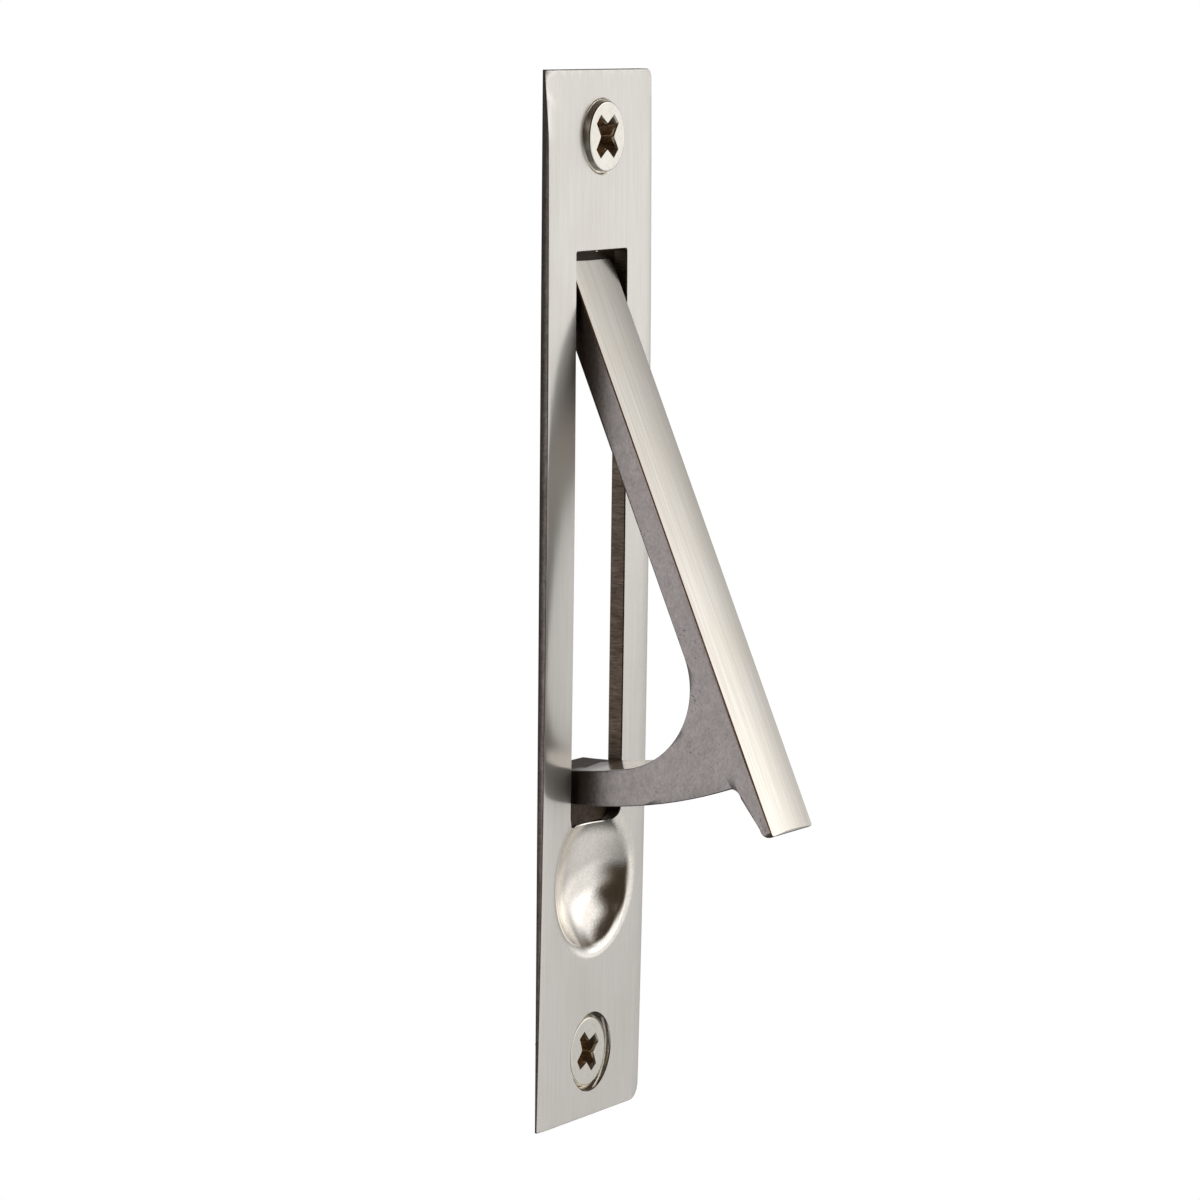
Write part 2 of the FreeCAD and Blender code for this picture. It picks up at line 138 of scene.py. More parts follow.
print("stage: studio")
studio = {
    "radius": 1.4,          # m, of the dark room round the object
    "turns": 96,            # faces round the room, and rings from its bottom to its top
    "rings": 48,
    "dark": 0.05,
    "darkTint": "#ffe2bf",  # the unlit room is warm and brown
    "untinted": 0.4,        # glow from which on the light is white
    "floorDepth": 0.35,     # m below the object's middle
    "floorSize": 12.0,      # m
    "cardRise": 0.1,        # a softbox fades in over this cosine, so that none shines the other way too
    # softboxes: azimuth from straight in front towards the right, elevation, roll, half width and half
    # height, then how soft their side and upper edges are and how strong they are
    "softboxes": [
        {"azimuth": 38.5, "elevation": 18, "roll": -5, "halfWidth": 22, "halfHeight": 12,
         "softSides": 0.18, "softTop": 0.09, "strength": 1.2},
        {"azimuth": 40.2, "elevation": -0.4, "roll": -18.5, "halfWidth": 35, "halfHeight": 12,
         "softSides": 0.25, "softTop": 0.09, "strength": 0.93},
        {"azimuth": 43.3, "elevation": -30, "roll": -23, "halfWidth": 45, "halfHeight": 16.3,
         "softSides": 0.6, "softTop": 0.12, "strength": 0.69},
        {"azimuth": -124, "elevation": 6, "roll": 0, "halfWidth": 25, "halfHeight": 36,
         "softSides": 0.2, "softTop": 0.25, "strength": 0.86},
        {"azimuth": 160, "elevation": 30, "roll": 0, "halfWidth": 35, "halfHeight": 30,
         "softSides": 0.3, "softTop": 0.3, "strength": 0.6},
        {"azimuth": 112, "elevation": -12, "roll": 0, "halfWidth": 16, "halfHeight": 14,
         "softSides": 0.12, "softTop": 0.12, "strength": 0.5},
    ],
}


def softboxAxes(card):
    # its middle (sin az cos el, -cos az cos el, sin el), and its right and up, rolled about that line
    az, el, roll = (math.radians(card[k]) for k in ("azimuth", "elevation", "roll"))
    middle = np.array([math.sin(az) * math.cos(el), -math.cos(az) * math.cos(el), math.sin(el)])
    level = np.array([math.cos(az), math.sin(az), 0.0])
    above = np.cross(level, middle)
    right = math.cos(roll) * level + math.sin(roll) * above
    up = math.cos(roll) * above - math.sin(roll) * level
    return middle, right, up


def glowOf(tree, s):
    # light from a direction d: dark + sum over softboxes of strength x fall(|d . right|) x fall(|d . up|)
    place = addNode(tree, "ShaderNodeTexCoord").outputs["Object"]
    direction = addNode(tree, "ShaderNodeVectorMath", {"operation": "NORMALIZE"}, {0: place}).outputs[0]
    total = None
    for card in s["softboxes"]:
        middle, right, up = softboxAxes(card)
        facing = addNode(tree, "ShaderNodeVectorMath", {"operation": "DOT_PRODUCT"}, {
            0: direction, 1: middle.tolist()})
        light = addNode(tree, "ShaderNodeMapRange", {"interpolation_type": "SMOOTHSTEP"}, {
            "Value": facing.outputs["Value"], "From Min": 0.0, "From Max": s["cardRise"],
            "To Max": card["strength"]}).outputs[0]
        sides = ((right, card["halfWidth"], card["softSides"]), (up, card["halfHeight"], card["softTop"]))
        for line, half, soft in sides:
            dot = addNode(tree, "ShaderNodeVectorMath", {"operation": "DOT_PRODUCT"}, {
                0: direction, 1: line.tolist()})
            size = addNode(tree, "ShaderNodeMath", {"operation": "ABSOLUTE"}, {0: dot.outputs["Value"]})
            edge = math.sin(math.radians(half))
            fall = addNode(tree, "ShaderNodeMapRange", {"interpolation_type": "SMOOTHSTEP"}, {
                "Value": size.outputs[0], "From Min": edge - soft, "From Max": edge + soft,
                "To Min": 1.0, "To Max": 0.0}).outputs[0]
            light = addNode(tree, "ShaderNodeMath", {"operation": "MULTIPLY"}, {
                0: light, 1: fall}).outputs[0]
        if total is None:
            total = light
        else:
            total = addNode(tree, "ShaderNodeMath", {"operation": "ADD"}, {0: total, 1: light}).outputs[0]
    return addNode(tree, "ShaderNodeMath", {"operation": "ADD"}, {0: total, 1: s["dark"]}).outputs[0]


def stageGlow(thing, material, tree, colour, strength):
    # a lit wall of the stage, which is not part of the object
    light = addNode(tree, "ShaderNodeEmission", None, {"Color": colour, "Strength": strength})
    addNode(tree, "ShaderNodeOutputMaterial", None, {"Surface": light.outputs[0]})
    material.cycles.emission_sampling = "NONE"
    thing.data.materials.append(material)


def addRoom(s):
    # a dark round room with its softboxes; the camera looks through its wall at the white backdrop
    theta = np.linspace(0, 2 * np.pi, s["turns"], endpoint=False)
    phi = np.linspace(-np.pi / 2, np.pi / 2, s["rings"] + 1)
    ring, turn = np.meshgrid(phi, theta, indexing="ij")
    points = np.stack([np.cos(ring) * np.cos(turn), np.cos(ring) * np.sin(turn), np.sin(ring)], -1)
    points, faces = joinedRows(points)
    mesh = meshOf("studioRoom", points * s["radius"], turnedRound(faces))
    room = addObject("studioRoom", mesh)
    room.visible_camera = False
    room.visible_shadow = False
    room.visible_transmission = False
    material, tree = newMaterial("studioWalls")
    glow = glowOf(tree, s)
    lit = addNode(tree, "ShaderNodeMapRange", None, {
        "Value": glow, "From Min": s["dark"], "From Max": s["untinted"]})
    tint = addNode(tree, "ShaderNodeMix", {"data_type": "RGBA"}, {
        0: lit.outputs[0], 6: linearFromHex(s["darkTint"]), 7: (1, 1, 1, 1)})
    stageGlow(room, material, tree, tint.outputs[2], glow)


def addBackdrop(s):
    # white behind the object for the camera, in mirrors and through glass, and a pale floor far below
    world = bpy.data.worlds.new("backdrop")
    world.use_nodes = True
    tree = world.node_tree
    tree.nodes.clear()
    paths = addNode(tree, "ShaderNodeLightPath")
    seen = addNode(tree, "ShaderNodeMath", {"operation": "MAXIMUM"}, {
        0: paths.outputs["Is Camera Ray"], 1: paths.outputs["Is Transmission Ray"]})
    seen = addNode(tree, "ShaderNodeMath", {"operation": "MAXIMUM"}, {
        0: seen.outputs[0], 1: paths.outputs["Is Glossy Ray"]})
    strength = addNode(tree, "ShaderNodeMapRange", None, {
        "Value": seen.outputs[0], "To Min": s["dark"], "To Max": 1.0})
    background = addNode(tree, "ShaderNodeBackground", None, {
        "Color": (1, 1, 1, 1), "Strength": strength.outputs[0]})
    addNode(tree, "ShaderNodeOutputWorld", None, {"Surface": background.outputs[0]})
    bpy.context.scene.world = world

    half = s["floorSize"] / 2
    corners = np.array([[-half, -half], [half, -half], [half, half], [-half, half]])
    points = np.insert(corners, 2, -s["floorDepth"], axis=1)
    floor = addObject("floor", meshOf("floor", points, [(0, 1, 2, 3)]))
    material, tree = newMaterial("whitePaperSweep")
    lit = glowOf(tree, s)
    paths = addNode(tree, "ShaderNodeLightPath")
    glow = addNode(tree, "ShaderNodeMapRange", None, {
        "Value": paths.outputs["Is Camera Ray"], "To Min": lit, "To Max": 1.0})
    stageGlow(floor, material, tree, (1, 1, 1, 1), glow.outputs[0])


addRoom(studio)
addBackdrop(studio)

print("stage: materials")
everyMetal = {
    "tilt": 0.0,            # of the brushing, about X
    "broadShare": 0.4,      # of the broad lines in their mix with the fine ones
    "noise": (0.3, 0.7),    # noise values that give the dark and the light colour
    "cloudNoise": (0.42, 0.7),
    "cloudShare": 0.3,
    "pitGate": 0.35,        # how strongly the pits keep to groups
    "pitSoft": 0.12,
    "roughSwing": 0.04,     # the lines are rougher and smoother by this
    "bump": 0.3,
    "bumpDepth": 0.02,
}


def brushedMetal(name, finish):
    # metal with lines along one direction: noise squeezed across the brushing and drawn out along it,
    # once fine and once broad, for colour, roughness and bump; clouds, painted shade and small pits where
    # asked
    f = {**everyMetal, **finish}
    material, tree = newMaterial(name)
    place = addNode(tree, "ShaderNodeTexCoord").outputs["Object"]
    turned = addNode(tree, "ShaderNodeMapping", {"vector_type": "TEXTURE"}, {
        "Vector": place, "Rotation": (math.radians(f["tilt"]), 0, 0)}).outputs[0]
    lines = []
    for across, along in f["lines"]:
        squeezed = addNode(tree, "ShaderNodeVectorMath", {"operation": "DIVIDE"}, {
            0: turned, 1: (across * mm, across * mm, along * mm)}).outputs[0]
        lines.append(addNode(tree, "ShaderNodeTexNoise", None, {
            "Vector": squeezed, "Scale": 1.0, "Detail": 2.0, "Roughness": 0.6}).outputs["Fac"])
    both = addNode(tree, "ShaderNodeMix", {"data_type": "FLOAT"}, {
        0: f["broadShare"], 2: lines[0], 3: lines[1]}).outputs[0]
    spread = addNode(tree, "ShaderNodeMapRange", None, {
        "Value": both, "From Min": f["noise"][0], "From Max": f["noise"][1]}).outputs[0]
    colour = addNode(tree, "ShaderNodeMix", {"data_type": "RGBA"}, {
        0: spread, 6: linearFromHex(f["dark"]), 7: linearFromHex(f["light"])}).outputs[2]
    if "cloud" in f:
        patches = addNode(tree, "ShaderNodeTexNoise", None, {
            "Vector": turned, "Scale": 1 / (f["cloudSize"] * mm), "Detail": 3.0, "Roughness": 0.6})
        share = addNode(tree, "ShaderNodeMapRange", None, {
            "Value": patches.outputs["Fac"], "From Min": f["cloudNoise"][0], "From Max": f["cloudNoise"][1],
            "To Max": f["cloudShare"]})
        colour = addNode(tree, "ShaderNodeMix", {"data_type": "RGBA"}, {
            0: share.outputs[0], 6: colour, 7: linearFromHex(f["cloud"])}).outputs[2]
    if "paintedShade" in f:
        # painted shade: a darker colour grows along its way through the piece, with its border broken up by
        # noise
        s = f["paintedShade"]
        way = addNode(tree, "ShaderNodeVectorMath", {"operation": "DOT_PRODUCT"}, {
            0: place, 1: [c / mm for c in s["way"]]})
        grains = addNode(tree, "ShaderNodeTexNoise", None, {
            "Vector": place, "Scale": 1 / (s["grain"] * mm), "Detail": 3.0, "Roughness": 0.7})
        broken = addNode(tree, "ShaderNodeMath", {"operation": "MULTIPLY_ADD"}, {
            0: grains.outputs["Fac"], 1: s["spread"], 2: way.outputs["Value"]})
        share = addNode(tree, "ShaderNodeMapRange", {"interpolation_type": "SMOOTHSTEP"}, {
            "Value": broken.outputs[0], "From Min": s["from"] + s["spread"] / 2,
            "From Max": s["to"] + s["spread"] / 2, "To Max": s["share"]})
        colour = addNode(tree, "ShaderNodeMix", {"data_type": "RGBA"}, {
            0: share.outputs[0], 6: colour, 7: linearFromHex(s["colour"])}).outputs[2]
    height = both
    if "pit" in f:
        gate = addNode(tree, "ShaderNodeTexNoise", None, {
            "Vector": turned, "Scale": 1 / (f["pitGroup"] * mm), "Detail": 1.0})
        grain = addNode(tree, "ShaderNodeTexNoise", None, {
            "Vector": turned, "Scale": 1 / (f["pitSize"] * mm), "Detail": 2.0, "Roughness": 0.7})
        depth = addNode(tree, "ShaderNodeMath", {"operation": "MULTIPLY_ADD"}, {
            0: gate.outputs["Fac"], 1: f["pitGate"], 2: grain.outputs["Fac"]})
        pits = addNode(tree, "ShaderNodeMapRange", {"interpolation_type": "SMOOTHSTEP"}, {
            "Value": depth.outputs[0], "From Min": f["pitFrom"], "From Max": f["pitFrom"] + f["pitSoft"]})
        share = addNode(tree, "ShaderNodeMath", {"operation": "MULTIPLY"}, {
            0: pits.outputs[0], 1: f["pitShare"]})
        colour = addNode(tree, "ShaderNodeMix", {"data_type": "RGBA"}, {
            0: share.outputs[0], 6: colour, 7: linearFromHex(f["pit"])}).outputs[2]
        height = addNode(tree, "ShaderNodeMath", {"operation": "SUBTRACT"}, {
            0: both, 1: pits.outputs[0]}).outputs[0]
    rough = addNode(tree, "ShaderNodeMapRange", None, {
        "Value": spread, "To Min": f["roughness"] + f["roughSwing"],
        "To Max": f["roughness"] - f["roughSwing"]}).outputs[0]
    bump = addNode(tree, "ShaderNodeBump", None, {
        "Height": height, "Strength": f["bump"], "Distance": f["bumpDepth"] * mm}).outputs[0]
    shader = addNode(tree, "ShaderNodeBsdfPrincipled", None, {
        "Base Color": colour, "Metallic": 1.0, "Roughness": rough, "Normal": bump})
    if "anisotropic" in f:
        # the shine spreads across the brushing, which runs at right angles to X
        across = addNode(tree, "ShaderNodeCombineXYZ", None, {"X": 1.0})
        tree.links.new(across.outputs[0], shader.inputs["Tangent"])
        shader.inputs["Anisotropic"].default_value = f["anisotropic"]
    surface = shader.outputs[0]
    if "haze" in f:
        # a share of the shine is much wider, as on sheet that was brushed and then rubbed
        wide = addNode(tree, "ShaderNodeBsdfPrincipled", None, {
            "Base Color": colour, "Metallic": 1.0, "Roughness": f["haze"], "Normal": bump})
        surface = addNode(tree, "ShaderNodeMixShader", None, {
            0: f["hazeShare"], 1: surface, 2: wide.outputs[0]}).outputs[0]
    addNode(tree, "ShaderNodeOutputMaterial", None, {"Surface": surface})
    return material


openAngle = 23.3      # that the pull stands away from the plate, and its brushing with it

# satin nickel plate brushed up and down on a belt: soft upright streaks, with a warm grey shine
satinBrushedPlate = brushedMetal("satinBrushedPlate", {
    "lines": [(0.1, 9.0), (0.22, 16.0)], "dark": "#e1ddd7", "light": "#efebe6", "roughness": 0.2,
    "cloud": "#dbd4cb", "cloudSize": 9.0, "bump": 0.11, "bumpDepth": 0.01, "anisotropic": 0.5,
    "haze": 0.6, "hazeShare": 0.5})
# the plate's sheared edges, plated but not polished: darker, streaked through the thickness, with painted
# shade that darkens them towards the back
shearedEdge = brushedMetal("shearedEdge", {
    "lines": [(0.22, 1.6), (0.5, 0.3)], "dark": "#6f6560", "light": "#a09792", "roughness": 0.42,
    "cloud": "#6a615b", "cloudSize": 2.4, "cloudShare": 0.5, "bump": 0.35,
    "paintedShade": {"colour": "#2e2826", "way": (0, 1, 0), "from": -1.35, "to": -0.65, "grain": 0.5,
              "spread": 0.3, "share": 0.88}})
# the punched slot wall: brown, dull, with fine marks of the punch across it; its brown is partly the
# unpolished sheet's own tint and partly painted shade of the slot
punchedWall = brushedMetal("punchedWall", {
    "lines": [(0.9, 0.14), (2.0, 0.34)], "dark": "#4a3d32", "light": "#7c6f64", "roughness": 0.45,
    "bump": 0.4, "bumpDepth": 0.03})
# the ears' inner faces beside the pull: painted shade, dark brown for the shade inside the slot
earInsideShade = brushedMetal("earInsideShade", {
    "lines": [(0.3, 0.3), (1.0, 1.0)], "dark": "#2c221a", "light": "#46382c", "roughness": 0.5, "bump": 0.4})
# the plate's back, its collars and its ears: plated sheet as it came from the press, duller than the front
platedBack = brushedMetal("platedBack", {
    "lines": [(0.5, 6.0), (1.4, 9.0)], "dark": "#aaa49c", "light": "#c2bdb5", "roughness": 0.42,
    "cloud": "#8d857c", "cloudSize": 7.0, "cloudShare": 0.5, "bump": 0.2})
# the pressed dish, the screw seats and the slot's low edge, buffed bright over a drawn surface: orange peel
# in the reflections
buffedDish = brushedMetal("buffedDish", {
    "lines": [(0.22, 0.22), (0.7, 0.7)], "dark": "#dcd6cd", "light": "#eee9e1", "roughness": 0.15,
    "bumpDepth": 0.03})
# the pull's sides: tumbled casting under thin plating, matte violet grey with groups of small pits, and
# painted shade that darkens them brown near the plate
tumbledSide = brushedMetal("tumbledSide", {
    "lines": [(0.2, 0.3), (0.6, 0.9)], "dark": "#9f9896", "light": "#b6aead", "roughness": 0.36,
    "cloud": "#9a9290", "cloudSize": 4.0,
    "paintedShade": {"colour": "#4b3b2d", "way": (0, 1, 0), "from": -4.9, "to": -2.4, "grain": 0.3,
              "spread": 2.4, "share": 0.62},
    "pit": "#5a504a", "pitGroup": 4.5, "pitSize": 0.24, "pitFrom": 0.84, "pitShare": 0.5, "bump": 0.5,
    "bumpDepth": 0.03})
# the pull's front, brushed along its length: cream shine with fine streaks
satinBrushedPull = brushedMetal("satinBrushedPull", {
    "lines": [(0.1, 9.0), (0.28, 18.0)], "tilt": -openAngle, "dark": "#c6c0b6", "light": "#dcd7cf",
    "roughness": 0.2, "cloud": "#cdc4b5", "cloudSize": 6.0, "cloudShare": 0.35, "bump": 0.14,
    "bumpDepth": 0.01, "anisotropic": 0.3})
# the pull's curved faces: polished by hand, with wavy reflections, and painted shade that darkens them near
# the plate
polishedCurve = brushedMetal("polishedCurve", {
    "lines": [(0.3, 1.2), (0.7, 2.5)], "dark": "#c9c2b8", "light": "#dcd6cc", "roughness": 0.2, "bump": 0.2,
    "paintedShade": {"colour": "#33291f", "way": (0, 1, 0), "from": -3.6, "to": -1.4, "grain": 0.5,
              "spread": 0.6, "share": 0.9}})
# what is hidden in the slot: painted shade, dark brown for the shade behind the plate
hiddenCastingShade = brushedMetal("hiddenCastingShade", {
    "lines": [(0.4, 0.4), (1.2, 1.2)], "dark": "#33291f", "light": "#4d4034", "roughness": 0.5, "bump": 0.4})
# the pull's front corners: a painted warm highlight along the edge breaks
warmEdgeHighlight = brushedMetal("warmEdgeHighlight", {
    "lines": [(0.2, 2.0), (0.5, 5.0)], "dark": "#a87a52", "light": "#cda27a", "roughness": 0.6, "bump": 0.2})
# bright nickel plating on the screws: nearly a mirror, slightly uneven
brightScrew = brushedMetal("brightScrew", {
    "lines": [(0.5, 0.5), (1.1, 1.1)], "dark": "#dcd7cd", "light": "#e8e4db", "roughness": 0.17,
    "bump": 0.25})
# the walls of the cross recess: painted shade, browner and darker than the head
recessWallShade = brushedMetal("recessWallShade", {
    "lines": [(0.2, 0.6), (0.5, 1.0)], "dark": "#b29d86", "light": "#dccdb8", "roughness": 0.22})
# the pivot pin: plain bright steel, drawn along its length
drawnPin = brushedMetal("drawnPin", {
    "lines": [(0.1, 0.1), (0.4, 0.4)], "dark": "#b9b5ae", "light": "#cfccc6", "roughness": 0.25})

print("stage: face plate")
mergeWithin = 1e-7      # m
cutWithin = 1e-9        # m


@contextmanager
def editing(mesh):
    # opens a mesh for cutting and merging, and puts the result back
    work = bmesh.new()
    work.from_mesh(mesh)
    yield work
    work.to_mesh(mesh)
    work.free()


def cutAcross(work, point, normal):
    # cuts the whole mesh along the plane through a point
    everything = work.verts[:] + work.edges[:] + work.faces[:]
    place = [c * mm for c in point]
    bmesh.ops.bisect_plane(work, geom=everything, plane_co=place, plane_no=normal, dist=cutWithin)


def closeUp(mesh, within):
    # merges what meets and turns the faces outwards
    with editing(mesh) as work:
        bmesh.ops.remove_doubles(work, verts=work.verts, dist=within)
        bmesh.ops.recalc_face_normals(work, faces=work.faces)


def shadeSmooth(mesh, sharpAngle):
    mesh.shade_smooth()
    mesh.set_sharp_from_angle(angle=math.radians(sharpAngle))


def weightedPiece(name, mesh):
    # flat faces stay flat up to the small rounds beside them
    piece = addObject(name, mesh)
    piece.modifiers.new("weighted", "WEIGHTED_NORMAL").keep_sharp = True
    return piece


def mergedCopy(nodeName, pieceName, sharpAngle):
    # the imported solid's mesh, merged, with its facets shaded as one smooth surface up to an angle
    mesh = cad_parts[nodeName].data.copy()
    with editing(mesh) as work:
        bmesh.ops.remove_doubles(work, verts=work.verts, dist=mergeWithin)
    shadeSmooth(mesh, sharpAngle)
    return weightedPiece(pieceName, mesh)


def faceFacts(mesh):
    # every face's centre in mm and its normal, as whole arrays
    count = len(mesh.polygons)
    centre, normal = np.zeros(count * 3), np.zeros(count * 3)
    mesh.polygons.foreach_get("center", centre)
    mesh.polygons.foreach_get("normal", normal)
    return centre.reshape(-1, 3) / mm, normal.reshape(-1, 3)


def dress(mesh, materials, choice):
    # gives the mesh its materials, and each face the number of its own
    mesh.materials.clear()
    for material in materials:
        mesh.materials.append(material)
    mesh.polygons.foreach_set("material_index", choice.astype(np.int32))


def settle(piece, nodeName, body):
    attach(piece, body)
    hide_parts(nodeName)


def roundedLoop(half, low, top, corners, sides):
    # (x, z) round a rectangle, anticlockwise: at each corner the quarter circle centre + r (cos a, sin a),
    # and evenly spaced points along each side
    a = np.radians(np.linspace(0, 90, 9))
    arcs = []
    for k, (right, end, r) in enumerate(zip((1, -1, -1, 1), (top, top, low, low), corners)):
        up = 1 if end == top else -1
        turn = a + k * np.pi / 2
        arcs.append(np.stack([right * (half - r) + r * np.cos(turn), end - up * r + r * np.sin(turn)], -1))
    pieces = []
    for k, arc in enumerate(arcs):
        after = arcs[(k + 1) % 4]
        share = np.linspace(0, 1, sides[k % 2] + 1)[1:-1, None]
        pieces += [arc, arc[-1] + (after[0] - arc[-1]) * share]
    return np.concatenate(pieces)


def circleLoop(radius, height, count=120):
    a = np.linspace(0, 2 * np.pi, count, endpoint=False)
    return np.stack([radius * np.cos(a), height + radius * np.sin(a)], -1)


def movedIn(loop, inset):
    # each point goes in at right angles to the line between its neighbours, by inset (negative: outwards)
    along = np.roll(loop, -1, axis=0) - np.roll(loop, 1, axis=0)
    along /= np.linalg.norm(along, axis=1, keepdims=True)
    inward = np.stack([-along[:, 1], along[:, 0]], -1)
    return loop + inward * inset


def insideLoop(points, loop):
    # even-odd rule: how many sides of the loop the level line to the right of each point crosses
    x, z = points.T[:, :, None]
    (ax, az), (bx, bz) = loop.T, np.roll(loop, -1, axis=0).T
    crosses = (az > z) != (bz > z)
    at = ax + (z - az) * (bx - ax) / np.where(bz == az, 1, bz - az)
    return (crosses & (at > x)).sum(1) % 2 == 1


def pierced(loops, inner):
    # triangles inside the first loop and outside the others, through the inner points too
    flat = np.concatenate(loops + [inner])
    edges = []
    first = 0
    for loop in loops:
        ring = np.arange(first, first + len(loop))
        edges += np.stack([ring, np.roll(ring, -1)], -1).tolist()
        first += len(loop)
    found = delaunay_2d_cdt([Vector(point) for point in flat], edges, [], 0, 1e-7)
    source = np.array([origin[0] for origin in found[3]])
    triangles = source[np.array(found[2])]
    middle = flat[triangles].mean(1)
    kept = insideLoop(middle, loops[0])
    for hole in loops[1:]:
        kept &= ~insideLoop(middle, hole)
    return flat, triangles[kept]


def lifted(loop, depth):
    return np.stack([loop[:, 0], np.broadcast_to(depth, len(loop)), loop[:, 1]], -1)


def pieceOf(name, parts, materials, sharpAngle):
    # puts (points, faces, material number) parts into one mesh
    points, faces, choice = [], [], []
    first = 0
    for where, what, number in parts:
        points.append(where)
        faces += (what + first).tolist()
        choice.append(np.broadcast_to(number, len(what)))
        first += len(where)
    mesh = meshOf(name, np.concatenate(points) * mm, faces)
    dress(mesh, materials, np.concatenate(choice))
    closeUp(mesh, 2 * mergeWithin)
    shadeSmooth(mesh, sharpAngle)
    return weightedPiece(name, mesh)


plate = {
    "corners": (1.0, 0.3, 0.3, 1.6),      # right top, left top, left low and right low
    "thick": 1.49,          # at mid height
    "crownDrop": 0.42,      # the brushed front falls back by this at both ends
    "frontRound": 0.1,
    "buffedAway": 0.42,     # the left edge's top end is worn down by this, where the buffing wheel ran off
    "buffedWidth": 2.4,
    "buffedPart": 8,        # in the top eighth of the upper half
    "edgeRoll": 0.13,       # the brushing belt rolls the long edges off by this, over the width below
    "rollWidth": 2.2,
    "bevelTop": 0.34,       # the back's long edges are bevelled up the side by this at the top end
    "bevelLow": 0.79,       # and by this at the low end
    "bevelAngle": 30.0,
    "edgeBreak": 0.1,       # round the slot and the screw seats
    "slotHalfWidth": 4.635,
    "slotLow": -21.43,
    "slotTop": 32.514,
    "slotCorners": (0.2, 0.2, 1.5, 1.5),
    "dishHeight": -26.6,
    "dishRadius": 7.0,
    "dishDepth": 3.0,
    "dishWall": 1.0,
    "rimRound": 2.0,
    "backRound": 0.5,
    "seatHeight": 43.05,    # of the top screw above the middle, and of the low one below it
    "seats": (
        {"side": 1, "mouth": 3.49, "ring": 3.49, "ringDepth": 0.08},
        {"side": -1, "mouth": 3.70, "ring": 3.49, "ringDepth": 0.94},
    ),
    "seatSlope": 0.869,     # the head cone's radius lost for each mm of depth
    "bore": 2.1,
    "collarHeight": 0.95,
    "collarBase": 4.7,
    "collarEnd": 3.5,
    "collarRound": 0.12,
    "pinHeight": 27.83,
    "pinBehind": 0.83,
    "pinHole": 0.61,
    "earThick": 0.8,
    "earOuter": 1.05,
    "earBelowPin": 2.6,
    "earTop": 33.414,
    "earTopSlope": 0.8,
    "sharpAngle": 28,
    # how the mesh is laid out: points along the short and the long sides, loops that follow the outline this
    # far in but not round its ends, and grids that stay clear of the seats and of the long edges
    "outlineSides": (24, 110),
    "slotSides": (20, 100),
    "borders": (0.45, 0.9, 1.4),
    "borderEnd": 2.3,
    "frontGrid": {"step": 1.2, "seatRoom": 4.4, "edgeRoom": 2.6},
    "backGrid": {"step": 1.5, "seatRoom": 5.5, "edgeRoom": 1.6},
}
plateMaterials = [satinBrushedPlate, shearedEdge, punchedWall, platedBack, buffedDish, earInsideShade]
onFront, onEdge, onSlotWall, onBack, onDish, onEarInside = range(6)


def dishSphere(p):
    # radius of the sphere that is dishDepth deep over a mouth of dishRadius, and its centre's depth
    sphere = (p["dishRadius"] ** 2 + p["dishDepth"] ** 2) / (2 * p["dishDepth"])
    return sphere, p["dishDepth"] - p["thick"] - sphere


def frontDepth(x, z, p):
    # the crown -thick + c - sqrt(c^2 - z^2), and in the dish the sphere centre + sqrt(s^2 - r^2), with the
    # rim's round level + q - sqrt(q^2 - (rim - r)^2) between the two; the crown falls back towards both long
    # edges, and more at the left one's worn top end, by the square of the way out to the edge
    half = p["halfHeight"]
    crown = (half ** 2 + p["crownDrop"] ** 2) / (2 * p["crownDrop"])
    level = -p["thick"] + crown - np.sqrt(crown ** 2 - z ** 2)
    part = p["buffedPart"]
    worn = np.clip((-x - p["halfWidth"]) / p["buffedWidth"] + 1, 0, 1) ** 2
    worn = worn * np.clip(z / half * part - (part - 1), 0, 1)
    rolled = np.clip((np.abs(x) - p["halfWidth"]) / p["rollWidth"] + 1, 0, 1) ** 2
    level = level + p["buffedAway"] * worn + p["edgeRoll"] * rolled
    middle = -p["thick"] + crown - math.sqrt(crown ** 2 - p["dishHeight"] ** 2)
    sphere, centre = dishSphere(p)
    q = p["rimRound"]
    rim = math.sqrt((sphere + q) ** 2 - (middle + q - centre) ** 2)
    inner = rim * sphere / (sphere + q)
    r = np.hypot(x, z - p["dishHeight"])
    bowl = centre + np.sqrt(np.maximum(sphere ** 2 - r ** 2, 0))
    ease = np.clip((r - inner) / (rim - inner), 0, 1)
    lip = middle + q - np.sqrt(np.maximum(q ** 2 - np.maximum(rim - r, 0) ** 2, 0)) + (level - middle) * ease
    return np.where(r < inner, bowl, np.where(r < rim, lip, level)), inner, rim


def backDepth(x, z, p):
    # flat, and behind the dish the sphere of the dish's wall with a hollow round at its foot
    sphere, centre = dishSphere(p)
    outer = sphere + p["dishWall"]
    q = p["backRound"]
    foot = math.sqrt((outer + q) ** 2 - (q - centre) ** 2)
    inner = foot * outer / (outer + q)
    r = np.hypot(x, z - p["dishHeight"])
    bulge = centre + np.sqrt(np.maximum(outer ** 2 - r ** 2, 0))
    root = q - np.sqrt(np.maximum(q ** 2 - np.maximum(foot - r, 0) ** 2, 0))
    return np.where(r < inner, bulge, np.where(r < foot, root, 0.0)), inner, foot


